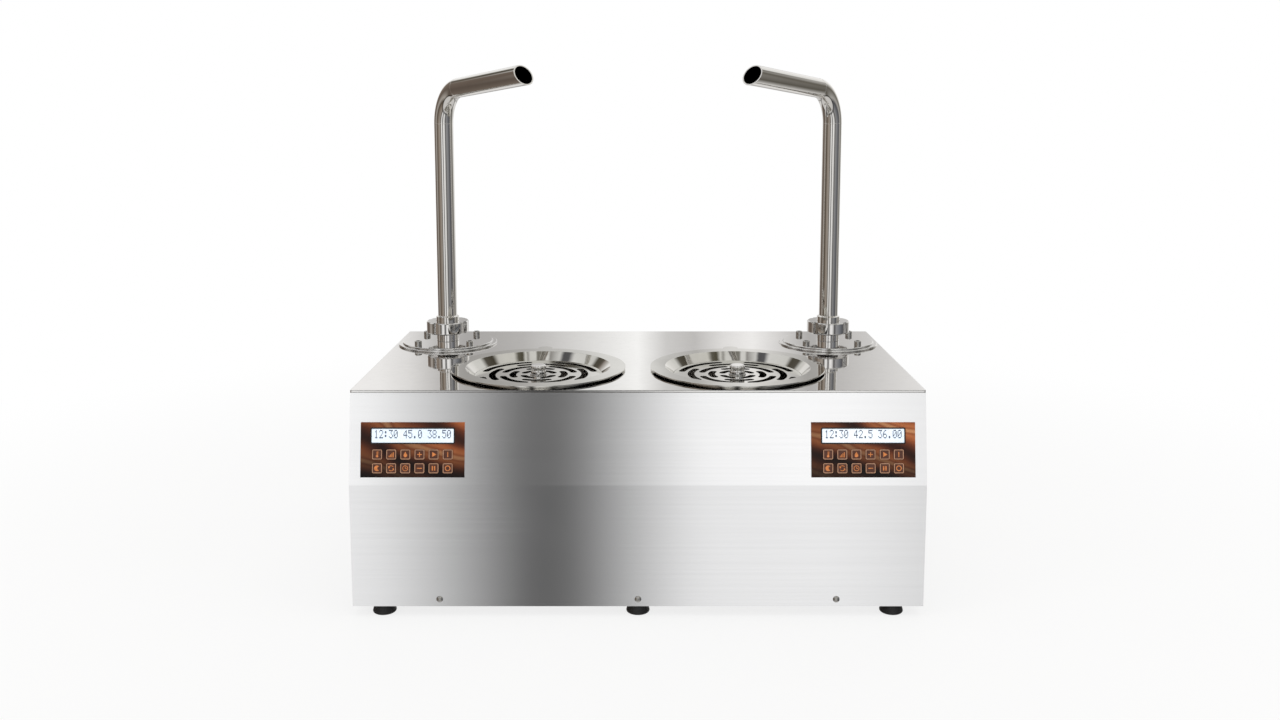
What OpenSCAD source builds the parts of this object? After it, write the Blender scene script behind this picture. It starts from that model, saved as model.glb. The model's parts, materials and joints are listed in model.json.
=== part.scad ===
// Counter-top dispenser for hot chocolate with two tanks, two auger pumps and two swivel spouts.
// Millimetres. The origin is on the table under the middle of the casing, the front faces -Y.

/* [Casing] */
// Width of the casing
body_w = 700; // [660:5:800]
// Depth of the casing, from the lower front to the back
body_d = 400; // [390:5:480]
// Height of the casing without its feet
body_h = 266; // [256:2:320]
// Height of the front's leaning part
panel_h = 113; // [106:1:130]
// How far the upper front leans back
lean = 20; // [10:1:30]
// Thickness of the casing's sheet steel
sheet = 1.5; // [1:0.25:2]
// Thickness of the polished top plate
plate_t = 3; // [2:0.5:4]
// Width of the lips that carry the top plate
lip_w = 10; // [7:1:10]
// Height of the base pan's upturned walls
pan_wall_h = 22; // [18:1:30]

/* [Feet and casing screws] */
// Height of a rubber foot
foot_h = 13; // [10:1:20]
// Widest diameter of a foot
foot_d = 29; // [26:1:36]
// Diameter of a foot where it meets the casing
foot_top_d = 24; // [20:1:26]
// Distance from the casing's side to the centre of a foot
foot_inset_x = 36; // [30:1:60]
// Distance from the casing's front or back to the centre of a foot
foot_inset_y = 16; // [16:1:40]
// Diameter of a casing screw's head
head_d = 8.3; // [7:0.1:10]
// Height of a casing screw's head
head_h = 2.5; // [2:0.1:3]
// Diameter of a casing screw's shank
shank_d = 4; // [3:0.5:5]
// Distance from the middle of the casing to its outer screws
screw_x = 243; // [150:1:270]
// Height of the casing screws above the casing's lower edge
screw_rise = 9; // [7:0.5:12]

/* [Trays] */
// Outer diameter of a tray's rim
tray_d = 228; // [210:1:240]
// Width of a tray's flat rim
rim_w = 19; // [14:1:22]
// Depth of a tray's sloping wall
tray_depth = 11; // [8:0.5:14]
// Thickness of a tray's steel
tray_t = 1.5; // [1:0.25:2]
// Height of a rim's underside above the top plate
rim_stand = 2.5; // [2:0.5:5]
// Gap between the rims of the two trays
tray_gap = 33.2; // [20:0.2:50]
// Distance from the top plate's front edge to a rim
tray_edge = 4; // [2:1:15]
// Width of the tongue at the back of a rim
tongue_w = 20; // [14:1:30]
// Length of the tongue at the back of a rim
tongue_l = 14; // [8:1:20]

/* [Grilles and knobs] */
// Thickness of a grille
grille_t = 1.5; // [1:0.25:2]
// Width of the ledge that carries a grille
ledge_w = 4.5; // [3:0.5:6]
// Radius of the innermost ring of slots
slot_first_r = 20.5; // [19:0.5:24]
// Distance from one ring of slots to the next
slot_pitch = 13.4; // [12:0.1:18]
// Width of a slot
slot_w = 9; // [5:0.5:10]
// Number of slots in a ring
slot_count = 4; // [3:1:5]
// Angle of the web between two slots of a ring
web_angle = 23; // [15:1:30]
// Diameter of a knob
knob_d = 20; // [16:1:24]
// Height of a knob
knob_h = 13; // [10:1:20]

/* [Pump flanges] */
// Diameter of a pump flange's lower ring
flange_d = 142; // [136:1:146]
// Thickness of a pump flange's lower ring
flange_t = 2.5; // [2:0.5:4]
// Diameter of a pump flange's raised plate
cover_d = 130; // [122:1:132]
// Thickness of a pump flange's raised plate
cover_t = 2; // [1.5:0.5:3]
// Distance from the top plate's side edge to a pump flange
flange_edge = 2; // [1:0.5:10]
// Distance from the top plate's back edge to a pump flange
flange_back = 18; // [10:1:24]
// Diameter of the circle of the flange screws
bolt_circle_d = 104; // [98:1:108]
// Diameter of a flange screw's head
cap_d = 10; // [8:0.5:11]
// Height of a flange screw's head
cap_h = 6; // [4:0.5:7]
// Diameter of a flange screw's shank
bolt_d = 6; // [5:0.5:7]

/* [Unions and spouts] */
// Diameter of the neck under a union nut
neck_d = 31.5; // [29:0.5:36]
// Height of the neck between the flange and the nut
neck_h = 12; // [8:0.5:20]
// Diameter of a union nut
nut_d = 60.5; // [56:0.5:68]
// Height of a union nut
nut_h = 17; // [15:0.5:24]
// Wall of a union nut round its thread
nut_wall = 5; // [4:0.5:6]
// Number of slots in a union nut
nut_slots = 4; // [3:1:8]
// Diameter of the collar above a union nut
collar_d = 32.5; // [30:0.5:36]
// Height of the collar above a union nut
collar_h = 8; // [5:0.5:14]
// Outer diameter of a spout's pipe
pipe_d = 27; // [24:0.5:28]
// Wall of a spout's pipe
pipe_wall = 1.5; // [1:0.25:2]
// Height above the top plate at which a spout starts to bend
pipe_rise = 318; // [240:2:400]
// Radius of a spout's bend, at the middle of the pipe
bend_r = 50; // [40:1:70]
// Angle of a spout's bend
bend_angle = 85.5; // [75:0.5:95]
// Angle at which a spout's mouth is cut
mouth_angle = 30; // [0:1:40]
// How far beside the knob the stream lands
stream_beside = 10; // [0:1:30]
// How far in front of the knob the stream lands
stream_before = 12; // [0:1:30]

/* [Tanks, pumps and drives] */
// Height of the space under the tanks
service_h = 105; // [102:1:116]
// Wall of a tank
tank_wall = 1.5; // [1:0.25:2]
// Radius of a tank's upright corners
tank_corner_r = 20; // [12:1:24]
// Width of a tank's rim
tank_rim_w = 5; // [4:0.5:6]
// Thickness of a heating mat
heater_t = 3; // [2:0.5:5]
// Outer diameter of a pump's barrel
barrel_d = 40; // [38:0.5:44]
// Wall of a pump's barrel
barrel_wall = 2; // [1.5:0.25:2.5]
// Height of a barrel's inlet windows
inlet_h = 30; // [20:1:40]
// Diameter of an auger's shaft
shaft_d = 12; // [10:0.5:14]
// Rise of an auger's blade in one turn
blade_pitch = 28; // [24:1:40]
// Thickness of an auger's blade
blade_t = 2; // [1.5:0.25:3]
// Diameter of a gearbox
gearbox_d = 70; // [60:1:80]
// Height of a gearbox
gearbox_h = 38; // [34:1:42]
// Diameter of a motor
motor_d = 58; // [50:1:66]
// Height of a motor
motor_h = 46; // [38:1:50]

/* [Key panels] */
// Width of a key panel
overlay_w = 126; // [118:1:134]
// Height of a key panel
overlay_h = 66.4; // [64:0.2:74]
// Thickness of a key panel
overlay_t = 1.2; // [0.8:0.1:2]
// Distance from the fold to a key panel
overlay_rise = 9.8; // [8:0.2:14]
// Distance from the casing's side to a key panel
overlay_inset = 14; // [13:1:40]
// Width of the display's window
lcd_w = 100; // [90:1:104]
// Height of the display's window
lcd_h = 17.2; // [14:0.2:19]
// Distance from a key panel's top to the display's window
lcd_drop = 7.6; // [6:0.2:9]
// Width and height of a key
key_w = 12.2; // [9:0.1:13]
// Distance between the columns of keys
key_pitch_x = 17.1; // [16:0.1:18]
// Distance between the rows of keys
key_pitch_y = 16.6; // [16:0.1:17]
// Distance from a key panel's top to the first row of keys
key_drop = 38.7; // [37:0.1:40]
// Travel of a key
key_travel = 0.5; // [0.3:0.1:0.6]

/* [Back] */
// Width of the power inlet and switch module
module_w = 48; // [46:1:56]
// Height of the power inlet and switch module
module_h = 60; // [58:1:66]
// Distance from the casing's left side to the middle of the module
module_inset = 100; // [70:1:150]
// Height of the module's centre above the casing's lower edge
module_rise = 60; // [58:1:64]
// Length of a ventilation slot
vent_l = 80; // [50:1:100]
// Height of a ventilation slot
vent_h = 4; // [3:0.5:6]
// Distance between ventilation slots
vent_pitch = 12; // [10:1:16]
// Number of ventilation slots in a column
vent_rows = 7; // [3:1:8]

/* [Hidden] */
SIDES = ["left", "right"];
SIDE_PIECES = [
    "tank", "heater", "tray", "grille", "knob", "pump_flange", "union_nut",
    "spout", "gasket", "auger", "gearmotor", "overlay", "display",
];
KEY_COLUMNS = 6;
KEY_ROWS = 2;
KEYS = [1 : KEY_COLUMNS * KEY_ROWS];
$fn = 64;

// Gap between pieces that move past each other
gap = 0.3;
// Radial clearance of a shaft or screw in its hole
fit_gap = 0.05;
// Overrun of a cut past the face that it opens
over = 1;

// Levels and outlines of the casing
z_bottom = foot_h;
z_top = z_bottom + body_h;
z_fold = z_top - panel_h;
z_plate = z_top - plate_t;
z_pan = z_bottom + sheet;
front_y = -body_d / 2;
back_y = body_d / 2;
top_front_y = front_y + lean;
lean_angle = atan(lean / (z_top - z_fold));
panel_top_y = front_y + lean * (z_plate - z_fold) / (z_top - z_fold);
inner_w = body_w - 2 * sheet;
plate_corner_r = 1.5;
foot_edge_r = foot_d / 12;

// Trays and what lies in them
rim_r = tray_d / 2;
bowl_r = rim_r - rim_w;
tray_x = rim_r + tray_gap / 2;
tray_y = top_front_y + tray_edge + rim_r;
z_rim = z_top + rim_stand + tray_t;
z_grille = z_rim - tray_depth;
z_ledge = z_grille - grille_t;
seat_gap = 0.4;
grille_r = bowl_r - tray_depth - gap;
ledge_r = bowl_r - tray_depth - ledge_w;
wall_slant = tray_t * sqrt(2);
plate_hole_r = bowl_r - (z_rim - z_top) + wall_slant + seat_gap;
bead_w = 2.5;
bead_gap = 2.5;
stud_d = 5;
stud_nut_w = 8;
stud_nut_h = 4;
knob_fillet = 2.5;
knob_waist = 0.8;
knob_foot_d = knob_d + 3;
knob_foot_h = 1.2;
slot_rings = floor((ledge_r - slot_w / 2 - slot_first_r) / slot_pitch) + 1;

// Pump flanges, unions and spouts
flange_r = flange_d / 2;
pump_x = body_w / 2 - flange_edge - flange_r;
pump_y = back_y - flange_back - flange_r;
z_ring = z_top + flange_t;
z_cover = z_ring + cover_t;
z_nut = z_cover + neck_h;
z_nut_top = z_nut + nut_h;
nut_roof = 2.5;
nut_bevel = 1.2;
nut_slot_w = 7;
nut_slot_depth = 2.5;
nut_turns = [20, 0];
thread_r = nut_d / 2 - nut_wall;
head_lead = 1.9;
head_z = z_nut + head_lead;
liner_t = 3;
gasket_t = 2;
z_liner_top = z_nut_top - nut_roof - gap;
z_liner = z_liner_top - liner_t;
z_gasket = z_liner - gap - gasket_t;
bore_r = pipe_d / 2 - pipe_wall;
gasket_wall = 5;
collar_bevel = 1.5;
bevel = 0.8;
seam_w = 1.2;
seam_h = 0.1;
aim = [tray_x + stream_beside, tray_y - stream_before];
aim_way = aim - [pump_x, pump_y];
spout_reach = norm(aim_way);
spout_turn = atan2(aim_way[1], aim_way[0]);
z_bend = z_top + pipe_rise;
arm_l = (spout_reach - bend_r * (1 - cos(bend_angle))) / sin(bend_angle);

// Tanks, pumps and drives
z_tank = z_pan + service_h;
tank_room = 2;
pump_room = 18;
barrel_r = barrel_d / 2;
barrel_bore_r = barrel_r - barrel_wall;
tank_x0 = tray_x - plate_hole_r - tank_room - tank_wall;
tank_x1 = pump_x + barrel_r + pump_room + tank_wall;
tank_y0 = tray_y - plate_hole_r - tank_room - tank_wall;
tank_y1 = pump_y + barrel_r + pump_room + tank_wall;
tank_floor_z = z_tank + tank_wall;
boss_r = barrel_r;
boss_h = 10;
z_boss = z_tank - boss_h;
barrel_lift = 0.3;
inlet_w = 16;
inlet_count = 4;
blade_gap = 1;
blade_r = barrel_bore_r - blade_gap;
blade_sink = 1;
blade_z0 = tank_floor_z + 6;
blade_z1 = z_top - 6;
blade_steps = 16;
socket_depth = 25;
shaft_tip = 4;
heater_inset = 12;
motor_plate = 3;
shaft_r = shaft_d / 2;

// Key panels
overlay_x = body_w / 2 - overlay_inset - overlay_w / 2;
overlay_v = overlay_rise + overlay_h / 2;
glue_w = 3.2;
window_r = 2;
board_margin = 4;
board_t = 1.6;
board_depth = 6;
post_r = 3;
lcd_frame = 1.8;
lcd_sink = 0.3;
key_proud = 0.4;
key_corner_r = 2.4;
key_flange = 1;
key_flange_t = 0.8;
key_stem_r = 2.5;
key_stem_l = 0.3;
switch_w = 6;

// Back
inlet_w_in = 24;
inlet_h_in = 17;
inlet_depth = 17;
inlet_wall = 1.8;
inlet_bevel = 5;
inlet_centre_z = -13;
module_flange = 3;
module_flange_t = 2;
pin_w = 2;
pin_h = 4;
pin_l = 14;
pin_spread = 7;
pin_offset = 2;
rocker_w = 20;
rocker_h = 22;
rocker_centre_z = 15;
rocker_r = 13;
rocker_depth = 7;
rocker_tilt = 10;
rocker_proud = 0.8;
rocker_pin_r = 1.5;
rocker_pin_l = 1.5;
supply_w = 160;
supply_d = 98;
supply_h = 40;
supply_back = 60;
supply_rim = 8;
terminal_h = 16;
terminal_d = 14;
terminal_count = 9;
terminal_wall = 1.5;
vent_edge = 90;
vent_rise = 70;
pan_vent_count = 9;

function sign_of(side) = side == "left" ? -1 : 1;
function index_of(side) = side == "left" ? 0 : 1;
function key_column(key) = (key - 1) % KEY_COLUMNS;
function key_row(key) = floor((key - 1) / KEY_COLUMNS);

// Point of the front's inner face on the leaning part, at a height
function inner_front(z) = [
    front_y + sheet * cos(lean_angle)
        + tan(lean_angle) * (z - z_fold + sheet * sin(lean_angle)),
    z,
];

// Outline of what lies behind the front panel, seen from the side
function side_outline() = [
    [front_y + sheet, z_bottom],
    [front_y + sheet, z_fold - sheet * tan(lean_angle / 2)],
    inner_front(z_plate),
    [back_y, z_plate],
    [back_y, z_bottom],
];

module rounded_rect(w, h, r) {
    square([w - 2 * r, h], center = true);
    square([w, h - 2 * r], center = true);
    for (x = [-1, 1], y = [-1, 1])
        translate([x * (w / 2 - r), y * (h / 2 - r)])
            circle(r);
}

module rounded_block(w, h, r, t) {
    linear_extrude(t)
        rounded_rect(w, h, r);
}

module slot_shape(l, h) {
    square([l - h, h], center = true);
    for (x = [-1, 1])
        translate([x * (l - h) / 2, 0])
            circle(h / 2);
}

module tube(outer_r, inner_r, h) {
    rotate_extrude()
        translate([inner_r, 0])
            square([outer_r - inner_r, h]);
}

// Extrudes an outline given as points (y, z) along the width, about the middle
module across(w) {
    translate([-w / 2, 0, 0])
        rotate([90, 0, 90])
            linear_extrude(w)
                children();
}

module at_tray(side) {
    translate([sign_of(side) * tray_x, tray_y, 0])
        children();
}

module at_pump(side) {
    translate([sign_of(side) * pump_x, pump_y, 0])
        children();
}

// Lies on the leaning front: X across, Y up the slope, Z out of the face
module on_front() {
    translate([0, front_y, z_fold])
        rotate([90 - lean_angle, 0, 0])
            children();
}

module at_overlay(side) {
    on_front()
        translate([sign_of(side) * overlay_x, overlay_v, 0])
            children();
}

module at_key(key) {
    x = (key_column(key) - (KEY_COLUMNS - 1) / 2) * key_pitch_x;
    y = overlay_h / 2 - key_drop - key_row(key) * key_pitch_y;
    translate([x, y, 0])
        children();
}

module at_lcd() {
    translate([0, overlay_h / 2 - lcd_drop - lcd_h / 2, 0])
        children();
}

module at_bolts() {
    for (turn = [45 : 90 : 315])
        rotate([0, 0, turn])
            translate([bolt_circle_d / 2, 0, 0])
                children();
}

// Faces out of the back, X across, Y up
module on_back() {
    translate([module_inset - body_w / 2, back_y, z_bottom + module_rise])
        rotate([-90, 0, 0])
            rotate([0, 0, 180])
                children();
}

// Places the casing screws with their heads outwards along Z
module at_casing_screws() {
    for (x = [-screw_x, 0, screw_x], turn = [0, 180])
        rotate([0, 0, turn])
            translate([x, front_y, z_bottom + screw_rise])
                rotate([90, 0, 0])
                    children();
}

module at_feet() {
    for (x = [-1, 0, 1], y = [-1, 1])
        translate([x * (body_w / 2 - foot_inset_x), y * (body_d / 2 - foot_inset_y), 0])
            children();
}

// Casing

module top_plate() {
    plate_d = back_y - top_front_y;
    color("gainsboro")
    difference() {
        translate([0, back_y - plate_d / 2, z_plate])
            rounded_block(body_w, plate_d, plate_corner_r, plate_t);
        for (side = SIDES) {
            at_tray(side)
                translate([0, 0, z_plate - over])
                    cylinder(r = plate_hole_r, h = plate_t + 2 * over);
            at_pump(side)
                translate([0, 0, z_plate - over]) {
                    cylinder(r = barrel_r + fit_gap, h = plate_t + 2 * over);
                    at_bolts()
                        cylinder(r = bolt_d / 2 + fit_gap, h = plate_t + 2 * over);
                }
        }
    }
}

module front_panel() {
    lip_end = inner_w / 2 - lip_w - gap;
    color("silver")
    difference() {
        union() {
            across(body_w)
                polygon([
                    [front_y, z_bottom],
                    [front_y, z_fold],
                    [panel_top_y, z_plate],
                    inner_front(z_plate),
                    [front_y + sheet, z_fold - sheet * tan(lean_angle / 2)],
                    [front_y + sheet, z_bottom],
                ]);
            across(2 * lip_end)
                polygon([
                    [panel_top_y, z_plate],
                    [panel_top_y + lip_w, z_plate],
                    [panel_top_y + lip_w, z_plate - sheet],
                    inner_front(z_plate - sheet),
                ]);
        }
        for (side = SIDES)
            at_overlay(side)
                translate([0, 0, -sheet - over])
                    rounded_block(
                        overlay_w - 2 * glue_w, overlay_h - 2 * glue_w, window_r, sheet + 2 * over
                    );
        at_casing_screws()
            translate([0, 0, -sheet - over])
                cylinder(r = shank_d / 2 + fit_gap, h = sheet + 2 * over);
    }
}

module vents() {
    column_x = body_w / 2 - vent_edge;
    for (x = [-column_x / 3, column_x / 3, column_x], row = [0 : vent_rows - 1])
        translate([x, z_bottom + vent_rise + row * vent_pitch])
            slot_shape(vent_l, vent_h);
}

module rear_casing() {
    color("silver")
    difference() {
        union() {
            for (x = [-1, 1])
                translate([x * (body_w - sheet) / 2, 0, 0])
                    across(sheet)
                        polygon(side_outline());
            translate([-body_w / 2, back_y - sheet, z_bottom])
                cube([body_w, sheet, z_plate - z_bottom]);
            for (x = [-1, 1])
                translate([x * (inner_w / 2 - lip_w / 2), 0, 0])
                    across(lip_w)
                        polygon([
                            inner_front(z_plate - sheet),
                            inner_front(z_plate),
                            [back_y, z_plate],
                            [back_y, z_plate - sheet],
                        ]);
            translate([-body_w / 2, back_y - sheet - lip_w, z_plate - sheet])
                cube([body_w, lip_w, sheet]);
        }
        translate([0, back_y + over, 0])
            rotate([90, 0, 0])
                linear_extrude(sheet + 2 * over)
                    vents();
        on_back()
            translate([0, 0, -sheet - over])
                rounded_block(module_w + 2 * fit_gap, module_h + 2 * fit_gap, window_r, sheet + 2 * over);
        at_casing_screws()
            translate([0, 0, -sheet - over])
                cylinder(r = shank_d / 2 + fit_gap, h = sheet + 2 * over);
    }
}

module base_pan() {
    pan_d = body_d - 2 * sheet;
    color("darkgray")
    difference() {
        translate([-inner_w / 2, -pan_d / 2, z_bottom])
            cube([inner_w, pan_d, pan_wall_h]);
        translate([-inner_w / 2 + sheet, -pan_d / 2 + sheet, z_pan])
            cube([inner_w - 2 * sheet, pan_d - 2 * sheet, pan_wall_h]);
        at_feet()
            translate([0, 0, z_bottom - over])
                cylinder(r = shank_d / 2 + fit_gap, h = sheet + 2 * over);
        at_casing_screws()
            translate([0, 0, -2 * sheet - over])
                cylinder(r = shank_d / 2 + fit_gap, h = 2 * sheet + 2 * over);
        for (column = [0 : pan_vent_count - 1])
            translate([(column - (pan_vent_count - 1) / 2) * vent_pitch, front_y / 2, z_bottom - over])
                linear_extrude(sheet + 2 * over)
                    rotate([0, 0, 90])
                        slot_shape(vent_l, vent_h);
    }
}

module foot() {
    recess_r = head_d / 2 + foot_edge_r;
    recess_h = head_h + foot_edge_r;
    difference() {
        union() {
            translate([0, 0, foot_edge_r])
                cylinder(d1 = foot_d, d2 = foot_top_d, h = foot_h - foot_edge_r);
            cylinder(r = foot_d / 2 - foot_edge_r, h = foot_edge_r);
            rotate_extrude()
                translate([foot_d / 2 - foot_edge_r, foot_edge_r])
                    intersection() {
                        circle(foot_edge_r);
                        translate([0, -foot_edge_r])
                            square(foot_edge_r);
                    }
        }
        translate([0, 0, -over])
            cylinder(r = recess_r, h = recess_h + over);
        cylinder(r = shank_d / 2 + fit_gap, h = foot_h + over);
    }
}

module feet() {
    color("dimgray")
    at_feet()
        foot();
}

// Pan-head screw: its head stands on Z = 0, its shank goes down
module pan_screw(shank_l) {
    dome_r = (pow(head_d / 2, 2) + pow(head_h, 2)) / (2 * head_h);
    slot = head_h / 3;
    difference() {
        union() {
            intersection() {
                translate([0, 0, head_h - dome_r])
                    sphere(dome_r);
                cylinder(d = head_d, h = head_h);
            }
            translate([0, 0, -shank_l])
                cylinder(d = shank_d, h = shank_l + slot);
        }
        for (turn = [0, 90])
            rotate([0, 0, turn])
                translate([-head_d / 4, -slot / 2, head_h - slot])
                    cube([head_d / 2, slot, slot + over]);
    }
}

module casing_screws() {
    color("lightgray") {
        at_casing_screws()
            pan_screw(shank_l = 4 * sheet);
        at_feet()
            translate([0, 0, head_h + foot_edge_r])
                mirror([0, 0, 1])
                    pan_screw(shank_l = foot_h - head_h - foot_edge_r + 2 * sheet);
    }
}

// Trays

module tray(side) {
    color("whitesmoke")
    at_tray(side) {
        rotate_extrude()
            polygon([
                [bowl_r, z_rim],
                [rim_r, z_rim],
                [rim_r, z_rim - tray_t],
                [plate_hole_r + bead_gap + bead_w, z_rim - tray_t],
                [plate_hole_r + bead_gap + bead_w, z_top],
                [plate_hole_r + bead_gap, z_top],
                [plate_hole_r + bead_gap, z_rim - tray_t],
                [bowl_r + wall_slant - tray_t, z_rim - tray_t],
                [grille_r + gap + wall_slant, z_grille],
                [grille_r + gap + wall_slant, z_ledge - tray_t],
                [ledge_r, z_ledge - tray_t],
                [ledge_r, z_ledge],
                [grille_r + gap, z_ledge],
                [grille_r + gap, z_grille],
            ]);
        translate([0, rim_r - rim_w / 2, z_rim - tray_t])
            linear_extrude(tray_t) {
                translate([0, (rim_w / 2 + tongue_l) / 2 - tongue_w / 4])
                    square([tongue_w, rim_w / 2 + tongue_l - tongue_w / 2], center = true);
                translate([0, rim_w / 2 + tongue_l - tongue_w / 2])
                    circle(d = tongue_w);
            }
    }
}

// One curved slot with round ends, centred on the way to the front
module arc_slot(r, w, half_angle, h) {
    half = half_angle - asin(w / 2 / r);
    rotate([0, 0, -90 - half])
        rotate_extrude(angle = 2 * half)
            translate([r - w / 2, 0])
                square([w, h]);
    for (turn = [-half, half])
        rotate([0, 0, -90 + turn])
            translate([r, 0, 0])
                cylinder(d = w, h = h);
}

module grille(side) {
    step = 360 / slot_count;
    color("gainsboro")
    at_tray(side)
        translate([0, 0, z_ledge])
            difference() {
                cylinder(r = grille_r, h = grille_t);
                translate([0, 0, -over]) {
                    cylinder(r = stud_d / 2 + fit_gap, h = grille_t + 2 * over);
                    for (ring = [0 : slot_rings - 1], slot = [0 : slot_count - 1])
                        rotate([0, 0, (slot + (ring % 2 == 0 ? 1 / 2 : 0)) * step])
                            arc_slot(
                                slot_first_r + ring * slot_pitch, slot_w,
                                (step - web_angle) / 2, grille_t + 2 * over
                            );
                }
            }
}

module knob(side) {
    color("silver")
    at_tray(side)
        translate([0, 0, z_grille]) {
            rotate_extrude()
                difference() {
                    union() {
                        square([knob_foot_d / 2, knob_foot_h]);
                        square([knob_d / 2, knob_h - knob_fillet]);
                        square([knob_d / 2 - knob_fillet, knob_h]);
                        translate([knob_d / 2 - knob_fillet, knob_h - knob_fillet])
                            circle(knob_fillet);
                    }
                    translate([knob_d / 2 + 2 * knob_waist, knob_h / 2])
                        circle(3 * knob_waist);
                    translate([-knob_d, 0])
                        square([knob_d, knob_h]);
                }
            translate([0, 0, -grille_t - stud_nut_h])
                cylinder(d = stud_d, h = grille_t + stud_nut_h);
            translate([0, 0, -grille_t - stud_nut_h])
                cylinder(d = stud_nut_w / cos(30), h = stud_nut_h, $fn = 6);
        }
}

// Pumps, unions and spouts

module pump_flange(side) {
    barrel_z = tank_floor_z + barrel_lift;
    color("silver")
    at_pump(side)
        difference() {
            rotate_extrude()
                polygon([
                    [barrel_bore_r, barrel_z],
                    [barrel_r, barrel_z],
                    [barrel_r, z_top],
                    [flange_r - bevel, z_top],
                    [flange_r, z_top + bevel],
                    [flange_r, z_ring - bevel],
                    [flange_r - bevel, z_ring],
                    [cover_d / 2, z_ring],
                    [cover_d / 2, z_cover - bevel],
                    [cover_d / 2 - bevel, z_cover],
                    [neck_d / 2, z_cover],
                    [neck_d / 2, head_z],
                    [thread_r - gap - bevel, head_z],
                    [thread_r - gap, head_z + bevel],
                    [thread_r - gap, z_gasket],
                    [bore_r, z_gasket],
                    [bore_r, z_top],
                    [barrel_bore_r, z_top - (barrel_bore_r - bore_r)],
                ]);
            at_bolts()
                translate([0, 0, z_top - over])
                    cylinder(r = bolt_d / 2 + fit_gap, h = flange_t + cover_t + 2 * over);
            for (slot = [0 : inlet_count - 1])
                rotate([0, 0, slot * 360 / inlet_count])
                    translate([0, -inlet_w / 2, barrel_z - over])
                        cube([barrel_r + over, inlet_w, inlet_h + over]);
        }
}

module pump_screws() {
    bolt_l = flange_t + cover_t + plate_t - gap;
    color("lightgray")
    for (side = SIDES)
        at_pump(side)
            translate([0, 0, z_cover])
                at_bolts()
                    difference() {
                        union() {
                            cylinder(d = cap_d, h = cap_h - bevel);
                            translate([0, 0, cap_h - bevel])
                                cylinder(d1 = cap_d, d2 = cap_d - 2 * bevel, h = bevel);
                            translate([0, 0, -bolt_l])
                                cylinder(d = bolt_d, h = bolt_l);
                        }
                        translate([0, 0, cap_h / 2])
                            cylinder(d = bolt_d, h = cap_h, $fn = 6);
                    }
}

module gasket(side) {
    color("white")
    at_pump(side)
        translate([0, 0, z_gasket])
            tube(bore_r + gasket_wall, bore_r, gasket_t);
}

module union_nut(side) {
    nut_r = nut_d / 2;
    color("silver")
    at_pump(side)
        difference() {
            rotate_extrude()
                polygon([
                    [thread_r, z_nut],
                    [nut_r - nut_bevel, z_nut],
                    [nut_r, z_nut + nut_bevel],
                    [nut_r, z_nut_top - nut_bevel],
                    [nut_r - nut_bevel, z_nut_top],
                    [collar_d / 2 + gap, z_nut_top],
                    [collar_d / 2 + gap, z_nut_top - nut_roof],
                    [thread_r, z_nut_top - nut_roof],
                ]);
            for (slot = [0 : nut_slots - 1])
                rotate([0, 0, nut_turns[index_of(side)] + (slot + 1 / 2) * 360 / nut_slots])
                    translate([nut_r - nut_slot_depth, -nut_slot_w / 2, z_nut - over])
                        cube([nut_r, nut_slot_w, nut_h + 2 * over]);
        }
}

// The run of a spout as a solid rod of radius r, longer at both ends by overrun
module spout_run(r, overrun) {
    translate([0, 0, z_liner - overrun])
        cylinder(r = r, h = z_bend - z_liner + overrun);
    translate([bend_r, 0, z_bend])
        rotate([90, 0, 0])
            rotate([0, 0, 180 - bend_angle])
                rotate_extrude(angle = bend_angle)
                    translate([bend_r, 0])
                        circle(r);
    at_bend_end()
        cylinder(r = r, h = arm_l + overrun);
    translate([0, 0, z_bend])
        weld_seam(r);
    at_bend_end()
        weld_seam(r);
}

// Polished weld where a straight pipe meets the bend
module weld_seam(r) {
    translate([0, 0, -seam_w / 2])
        cylinder(r = r + seam_h, h = seam_w);
}

module at_bend_end() {
    translate([bend_r * (1 - cos(bend_angle)), 0, z_bend + bend_r * sin(bend_angle)])
        rotate([0, bend_angle, 0])
            children();
}

module spout(side) {
    z_collar = z_nut_top + collar_h;
    turn = side == "left" ? 180 - spout_turn : spout_turn;
    color("silver")
    at_pump(side)
        rotate([0, 0, turn])
            difference() {
                union() {
                    spout_run(pipe_d / 2, 0);
                    rotate_extrude()
                        polygon([
                            [0, z_liner],
                            [thread_r - 2 * gap, z_liner],
                            [thread_r - 2 * gap, z_liner_top],
                            [collar_d / 2, z_liner_top],
                            [collar_d / 2, z_collar - collar_bevel],
                            [pipe_d / 2, z_collar],
                            [0, z_collar],
                        ]);
                }
                spout_run(bore_r, over);
                at_bend_end()
                    translate([pipe_d / 2, 0, arm_l])
                        rotate([0, -mouth_angle, 0])
                            translate([-2 * pipe_d, -pipe_d, 0])
                                cube([4 * pipe_d, 2 * pipe_d, 2 * pipe_d]);
            }
}

// A flat blade wound round an upright shaft and closed at both ends
module blade(inner_r, outer_r, z0, z1, pitch) {
    turns = (z1 - z0) / pitch;
    count = ceil(turns * blade_steps);
    points = [
        for (i = [0 : count])
            let (
                turn = 360 * turns * i / count,
                z = z0 + (z1 - z0) * i / count
            )
            for (corner = [[inner_r, z], [outer_r, z], [outer_r, z + blade_t], [inner_r, z + blade_t]])
                [corner[0] * cos(turn), corner[0] * sin(turn), corner[1]]
    ];
    sides = [
        for (i = [0 : count - 1], j = [0 : 3])
            let (
                a = 4 * i + j,
                b = 4 * i + (j + 1) % 4
            )
            for (face = [[a, b, b + 4], [a, b + 4, a + 4]])
                face
    ];
    last = 4 * count;
    ends = [
        [0, 2, 1], [0, 3, 2],
        [last, last + 1, last + 2], [last, last + 2, last + 3],
    ];
    polyhedron(points, concat(sides, ends));
}

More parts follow.
